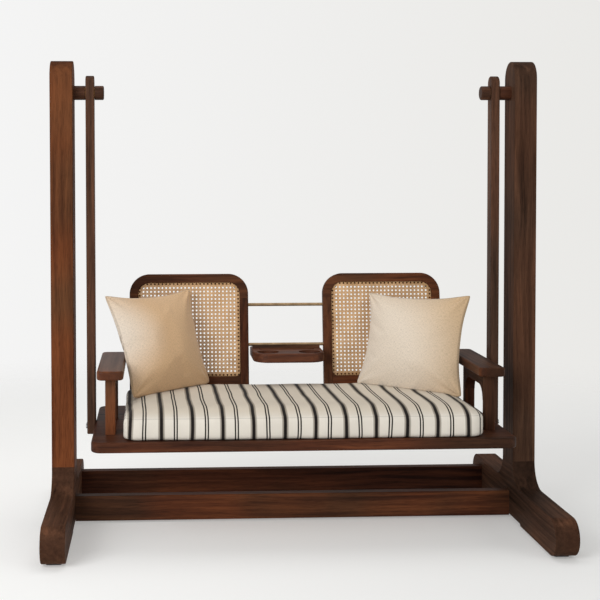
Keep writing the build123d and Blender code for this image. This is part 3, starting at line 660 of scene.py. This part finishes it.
def inflate(piece, pressure, frames, stiffness, bending, cap):
    """Swells a closed cloth piece from within, then fixes its shape with each point moved no
    further than the cap."""
    before = [vertex.co.copy() for vertex in piece.data.vertices]
    cloth = piece.modifiers.new("stuffing", "CLOTH")
    feel = cloth.settings
    feel.quality = 8
    feel.mass = 0.3
    feel.tension_stiffness = stiffness
    feel.compression_stiffness = stiffness
    feel.shear_stiffness = stiffness * 0.4
    feel.bending_stiffness = bending
    feel.use_pressure = True
    feel.uniform_pressure_force = pressure
    feel.effector_weights.gravity = 0
    cloth.collision_settings.use_collision = False
    cloth.point_cache.frame_start = 1
    cloth.point_cache.frame_end = frames
    for number in range(1, frames + 1):
        bpy.context.scene.frame_set(number)
    swollen = piece.evaluated_get(bpy.context.evaluated_depsgraph_get()).to_mesh()
    after = [vertex.co.copy() for vertex in swollen.vertices]
    piece.modifiers.remove(cloth)
    for vertex, start, end in zip(piece.data.vertices, before, after):
        move = end - start
        if move.length > cap:
            move *= cap / move.length
        vertex.co = start + move
    bpy.context.scene.frame_set(1)


middle = (low + high) / 2
half = (high - low) / 2 - Vector((cushion_start, cushion_start, 0))
half.z = (seam_height - low.z) / 2
middle.z = low.z + half.z


def crown(point):
    """How far the top panel stands above the seam at a point of the plan."""
    runs = (
        (half.x - abs(point.x - middle.x)) / crown_slopes.x,
        (point.y - middle.y + half.y) / crown_slopes.y,
        (middle.y + half.y - point.y) / crown_slopes.z,
    )
    eases = [math.sin(min(max(run, 0), 1) * math.pi / 2) for run in runs]
    return crown_rise * eases[0] * eases[1] * eases[2]


pad = bmesh.new()
bmesh.ops.create_cube(pad, size=2, matrix=Matrix.Translation(middle) @ Matrix.Diagonal((*half, 1)))
uprights = [e for e in pad.edges if abs(e.verts[0].co.z - e.verts[1].co.z) > half.z]
bmesh.ops.bevel(pad, geom=uprights, offset=cushion_corner, segments=6, profile=0.5,
                affect="EDGES", material=-1)
for level in (seam_height, low.z):
    rim = [e for e in pad.edges if all(abs(v.co.z - level) < 0.001 for v in e.verts)]
    bmesh.ops.bevel(pad, geom=rim, offset=cushion_rim, segments=4, profile=0.5,
                    affect="EDGES", material=-1)
cushion = lay_out("striped_seat_cushion", pad)
voxels = cushion.modifiers.new("even_mesh", "REMESH")
voxels.mode = "VOXEL"
voxels.voxel_size = cushion_voxel
apply_modifiers(cushion)
for vertex in cushion.data.vertices:
    share = (vertex.co.z - low.z) / (seam_height - low.z)
    vertex.co.z += crown(vertex.co) * min(max(share, 0), 1)
inflate(cushion, pressure=2.5, frames=20, stiffness=12.0, bending=0.8, cap=cushion_cap)
subdivide(cushion)

# The filled pad is fitted to its plan, and then gets its lumps and the pinch of its seam.
soft = bmesh.new()
soft.from_mesh(cushion.data)
fit_low = low - cushion_proud
fit_high = Vector((high.x + cushion_proud.x, high.y))
for axis in range(2):
    filled_low = min(v.co[axis] for v in soft.verts)
    filled_high = max(v.co[axis] for v in soft.verts)
    stretch = (fit_high[axis] - fit_low[axis]) / (filled_high - filled_low)
    for vertex in soft.verts:
        vertex.co[axis] = fit_low[axis] + (vertex.co[axis] - filled_low) * stretch
for vertex in soft.verts:
    vertex.co.z = max(vertex.co.z, low.z)
soft.normal_update()
for vertex in soft.verts:
    vertex.co += vertex.normal * sum(noise.noise(vertex.co * rate) * rise for rate, rise in lumps)
    distance = abs(vertex.co.z - seam_height) / seam_reach
    if distance < 1:
        pinch = seam_depth * (1 - distance ** 2) ** 2
        vertex.co -= Vector((vertex.normal.x, vertex.normal.y, 0)) * pinch
    vertex.co.z = max(vertex.co.z, low.z)
    vertex.co.y = min(vertex.co.y, high.y)
soft.to_mesh(cushion.data)
soft.free()
cushion.data.materials.clear()
cushion.data.materials.append(canvas("striped_canvas"))
cushion.data.shade_smooth()
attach(cushion, "bench")
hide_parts("seat_cushion")


# Pillows. Two square linen covers, each of two flat panels sewn at the edge and stuffed, so
# the corners stay pointed and the sides pull in. Each leans on a backrest and an armrest.
panel_cells = 60
flat_side = 0.50
panel_gap = 0.006
panel_ripple = 0.003       # height of the ripples in a panel before it is stuffed
ripples_per_metre = 9
pillow_half_thickness = 0.078
pillow_cap = 0.12
cloth_share = 0.6          # how much of the simulated swell shows against an even one
rear_share = 0.85          # the rear panel is pressed by what the pillow leans on
edge_share = 0.97          # the smoothing stops here, as a share of half a side
crease_smoothing = 2
bottom_pull = 0.02         # the side that it stands on stays almost straight
pull_power = 2.4           # how evenly a side curves in between its corners
corner_blunting = 0.05
blunting_power = 8         # how close to a corner the blunting keeps
corner_folds = 0.005       # height of the creases that run in from the corners
fold_fan = 9               # how closely they are set
fold_drift = Vector((2, 3))        # how far they turn aside as they run in
fold_reach = 0.5           # how far in they run, as a share of half a side
fold_start = 0.15          # and how far from the corner they reach their full height
loose_folds = 0.004        # height of the broad soft waves over a panel
loose_waves = Vector((2.6, 1.3))   # and how closely they are set, across and up
soft_gap = 0.0004          # between the pillows and the cushion
lean_gap = 0.0015          # and between them and the timber
above_all = 1.2            # a height over the whole bench, to look down from
back_foot = Vector((0, 0.2705, 0.424))     # where the backrests' front faces meet the seat
back_slope = math.tan(back_lean)
back_reach = 0.69          # half the length that the two backrests take up
armrest_low, armrest_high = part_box("right_armrest")
cushion_tree = BVHTree.FromObject(cushion, bpy.context.evaluated_depsgraph_get())


def linen(name, painted_light_colour, cloth_and_shade_colour, hub, fade):
    """Even linen: threads of 0.5 mm drawn at 2 mm so that they show, with short slubs, matt,
    with a soft sheen at grazing light, and a painted highlight: paler round a hub, where the light
    falls, and tan away from it as painted shade."""
    material, tree = new_material(name)
    cloth = add(tree, "ShaderNodeUVMap", uv_map="cloth")
    away = add(tree, "ShaderNodeVectorMath", {0: cloth, 1: hub}, operation="DISTANCE")
    depth = add(tree, "ShaderNodeMapRange", {
        "Value": away, "From Min": fade[0], "From Max": fade[1]},
        interpolation_type="SMOOTHSTEP")
    body = add(tree, "ShaderNodeMix", {
        "Factor": depth, "A": linear(painted_light_colour), "B": linear(cloth_and_shade_colour)}, data_type="RGBA")
    slubs = []
    for slubs_per_side in ((240, 50, 1), (50, 240, 1)):
        stretched = add(tree, "ShaderNodeVectorMath", {
            0: cloth, 1: slubs_per_side}, operation="MULTIPLY")
        slubs.append(add(tree, "ShaderNodeTexNoise", {
            "Vector": stretched, "Scale": 1.0, "Detail": 2.0}))
    weave = add(tree, "ShaderNodeMath", {0: slubs[0], 1: slubs[1]}, operation="ADD")
    weave = add(tree, "ShaderNodeMath", {0: weave, 1: 0.5}, operation="MULTIPLY")
    yarns = add(tree, "ShaderNodeValToRGB", {"Fac": weave}, stops=(
        (0.36, grey(0.72)), (0.5, grey(0.93)), (0.64, grey(1.0))))
    # A darker line along the edge seam: its stitching, and painted shade of the pucker there.
    off_middle = add(tree, "ShaderNodeVectorMath", {
        0: cloth, 1: (0.5, 0.5, 0)}, operation="SUBTRACT")
    off_middle = add(tree, "ShaderNodeVectorMath", {0: off_middle}, operation="ABSOLUTE")
    off_middle = add(tree, "ShaderNodeSeparateXYZ", {0: off_middle}).outputs
    to_seam = add(tree, "ShaderNodeMath", {
        0: off_middle["X"], 1: off_middle["Y"]}, operation="MAXIMUM")
    seam_line_and_shade = add(tree, "ShaderNodeValToRGB", {"Fac": to_seam}, stops=(
        (0.486, grey(1.0)), (0.492, grey(0.72)), (0.497, grey(0.9))))
    colour = body
    for layer in (yarns, seam_line_and_shade):
        colour = add(tree, "ShaderNodeMix", {
            "Factor": 1.0, "A": colour, "B": layer}, data_type="RGBA", blend_type="MULTIPLY")
    bump = add(tree, "ShaderNodeBump", {"Height": weave, "Strength": 0.4, "Distance": 0.0008})
    show(tree, add(tree, "ShaderNodeBsdfPrincipled", {
        "Base Color": colour, "Roughness": 0.92, "Specular IOR Level": 0.2,
        "Sheen Weight": 0.25, "Sheen Roughness": 0.45, "Normal": bump}))
    return material


def keep_clear(point):
    """Moves a point of a pillow off the cushion, the backrest and the armrest."""
    hit = cushion_tree.ray_cast(Vector((point.x, point.y, above_all)), Vector((0, 0, -1)))[0]
    if hit and point.z < hit.z + soft_gap:
        point.z = hit.z + soft_gap
    back_face = back_foot.y + (point.z - back_foot.z) * back_slope - lean_gap
    if point.y > back_face and abs(point.x) < back_reach:
        point.y = back_face
    inner_face = armrest_low.x - lean_gap
    top_face = armrest_high.z + lean_gap
    past = abs(point.x) - inner_face
    beside = past > 0 and point.y < armrest_high.y + lean_gap
    if beside and armrest_low.z - lean_gap < point.z < top_face:
        if past < top_face - point.z:
            point.x = math.copysign(inner_face, point.x)
        else:
            point.z = top_face
    return point


def folds(place, seed):
    """How far the creases from the corners and the broad waves lift a point of a panel."""
    from_corner = Vector((1 - abs(place.x), 1 - abs(place.y)))
    bearing = math.atan2(max(from_corner.y, 0), max(from_corner.x, 0))
    drift = fold_drift.x * place.x + fold_drift.y * place.y
    fan = math.sin(2 * bearing) * math.sin(fold_fan * bearing + seed + drift)
    nearness = math.exp(-(from_corner.length / fold_reach) ** 2)
    nearness *= min(1, from_corner.length / fold_start)
    waves = noise.noise(Vector((
        place.x * loose_waves.x + seed, place.y * loose_waves.y, seed)))
    inward = max(0, from_corner.x * from_corner.y) ** 0.5
    return corner_folds * fan * nearness + loose_folds * waves * inward


# Round each hub the linen is painted paler as painted light, and tan away from it as painted
# shade; the left pillow's deeper tan is partly cloth colour and partly painted shade.
for name, node, slot, corners, finish, side_pull, seed in (
    ("left_linen_pillow", "left_pillow", "tan_linen",
     ((-0.667, -0.0895, 0.528), (-0.332, 0.2405, 0.534),
      (-0.791, 0.0285, 0.949), (-0.420, 0.3135, 0.951)),
     linen("tan_linen", "E4D6C5", "D5B189", (-0.12, 0.62, 0), (0.1, 0.62)),
     Vector((0.12, 0.15)), 3),
    ("right_linen_pillow", "right_pillow", "beige_linen",
     ((0.286, 0.2195, 0.528), (0.680, -0.1100, 0.522),
      (0.360, 0.3135, 0.928), (0.754, 0.0285, 0.940)),
     linen("beige_linen", "E2D4C2", "C9AC88", (0.1, 0.35, 0), (0.4, 1.05)),
     Vector((0.15, 0.14)), 8),
):
    panels = bmesh.new()
    cloth_map = panels.loops.layers.uv.new("cloth")
    bmesh.ops.create_grid(panels, x_segments=panel_cells, y_segments=panel_cells,
                          size=flat_side / 2)
    for face in panels.faces:
        for loop in face.loops:
            spot = loop.vert.co
            loop[cloth_map].uv = (spot.x / flat_side + 0.5, spot.y / flat_side + 0.5)
    bmesh.ops.solidify(panels, geom=panels.faces[:], thickness=panel_gap)
    cut = panels.verts.layers.float_vector.new("cut")      # place on the flat panel, -1 to 1
    for vertex in panels.verts:
        vertex[cut] = vertex.co * 2 / flat_side
        ripple_place = vertex.co * ripples_per_metre + Vector((seed, 0, 0))
        vertex.co.z += noise.noise(ripple_place) * panel_ripple
    pillow = lay_out(name, panels)
    inflate(pillow, pressure=6.0, frames=40, stiffness=20.0, bending=0.6, cap=pillow_cap)
    subdivide(pillow)
    mesh = pillow.data
    places = [point.vector.copy() for point in mesh.attributes["cut"].data]
    soft = bmesh.new()
    soft.from_mesh(mesh)
    soft.verts.ensure_lookup_table()
    inner = [vertex for vertex, place in zip(soft.verts, places)
             if max(abs(place.x), abs(place.y)) < edge_share]
    for number in range(crease_smoothing):
        bmesh.ops.smooth_vert(soft, verts=inner, factor=0.5,
                              use_axis_x=True, use_axis_y=True, use_axis_z=True)
    soft.to_mesh(mesh)
    soft.free()
    plump = pillow_half_thickness / max(v.co.z for v in mesh.vertices)
    bottom_left, bottom_right, top_left, top_right = [Vector(point) for point in corners]
    facing = (bottom_right - bottom_left).cross(top_left - bottom_left).normalized()
    for vertex, place in zip(mesh.vertices, places):
        blunt = 1 - corner_blunting * abs(place.x * place.y) ** blunting_power
        pull_up = side_pull.y if place.y > 0 else bottom_pull
        pull_x = 1 - side_pull.x * (1 - abs(place.y) ** pull_power)
        pull_y = 1 - pull_up * (1 - abs(place.x) ** pull_power)
        u = place.x * pull_x * blunt / 2 + 0.5
        v = place.y * pull_y * blunt / 2 + 0.5
        base = (bottom_left * (1 - u) + bottom_right * u) * (1 - v)
        base += (top_left * (1 - u) + top_right * u) * v
        even = (max(0, 1 - place.x ** 2) * max(0, 1 - place.y ** 2)) ** 0.5
        even = math.copysign(pillow_half_thickness * even, vertex.co.z)
        swell = vertex.co.z * plump * cloth_share + even * (1 - cloth_share)
        if swell <= 0:
            swell *= rear_share
        swell += folds(place, seed) * math.copysign(1, vertex.co.z)
        vertex.co = keep_clear(base + facing * swell)
    mesh.materials.clear()
    mesh.materials.append(finish)
    mesh.shade_smooth()
    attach(pillow, "bench")
    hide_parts(node)
